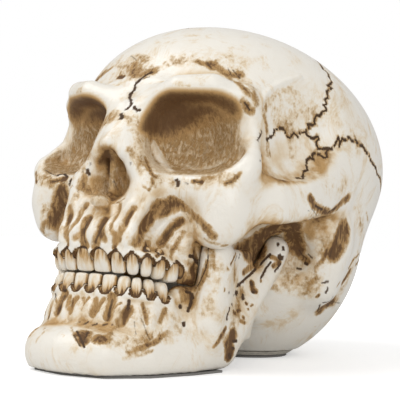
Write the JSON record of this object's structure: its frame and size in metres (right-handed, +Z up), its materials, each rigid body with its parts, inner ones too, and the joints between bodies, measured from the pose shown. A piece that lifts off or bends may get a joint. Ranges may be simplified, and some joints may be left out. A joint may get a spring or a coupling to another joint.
{
  "type": "skull statue",
  "caption": "Life-size skull statue that stands on its jaw and a foot behind it: a hollow casting with a separate jaw and set teeth, in an antiqued bone finish, for a shelf or desk.",
  "frame": {"origin": "middle of the statue's footprint, on the table under its pads", "axes": "+Z up, -Y the way the face looks, +X the statue's own left"},
  "size_m": [0.1452, 0.2054, 0.1564],
  "materials": {
    "cranium_resin": "cast resin, ivory paint with a brown wash, satin lacquer",
    "mandible_resin": "cast resin, ivory paint with a brown wash, satin lacquer",
    "upper_tooth_resin": "cast resin, ivory paint with brown necks, gloss lacquer",
    "lower_tooth_resin": "cast resin, ivory paint with brown necks, gloss lacquer",
    "pin_steel": "plain steel pin",
    "plate_plastic": "plain moulded plate, bone colour",
    "pad_rubber": "dark grey foam rubber"
  },
  "bodies": {
    "root": {"cranium": "cranium_resin", "mandible": "mandible_resin", "jaw_dowel_left": "pin_steel", "jaw_dowel_right": "pin_steel", "foot_plate": "plate_plastic", "base_pad_front": "pad_rubber", "base_pad_rear": "pad_rubber", "upper_central_incisor_left": "upper_tooth_resin", "upper_central_incisor_right": "upper_tooth_resin", "upper_lateral_incisor_left": "upper_tooth_resin", "upper_lateral_incisor_right": "upper_tooth_resin", "upper_canine_left": "upper_tooth_resin", "upper_canine_right": "upper_tooth_resin", "upper_first_premolar_left": "upper_tooth_resin", "upper_first_premolar_right": "upper_tooth_resin", "upper_second_premolar_left": "upper_tooth_resin", "upper_second_premolar_right": "upper_tooth_resin", "upper_first_molar_left": "upper_tooth_resin", "upper_first_molar_right": "upper_tooth_resin", "lower_central_incisor_left": "lower_tooth_resin", "lower_central_incisor_right": "lower_tooth_resin", "lower_lateral_incisor_left": "lower_tooth_resin", "lower_lateral_incisor_right": "lower_tooth_resin", "lower_canine_left": "lower_tooth_resin", "lower_canine_right": "lower_tooth_resin", "lower_first_premolar_left": "lower_tooth_resin", "lower_first_premolar_right": "lower_tooth_resin", "lower_second_premolar_left": "lower_tooth_resin", "lower_second_premolar_right": "lower_tooth_resin", "lower_first_molar_left": "lower_tooth_resin", "lower_first_molar_right": "lower_tooth_resin"}
  },
  "joints": []
}
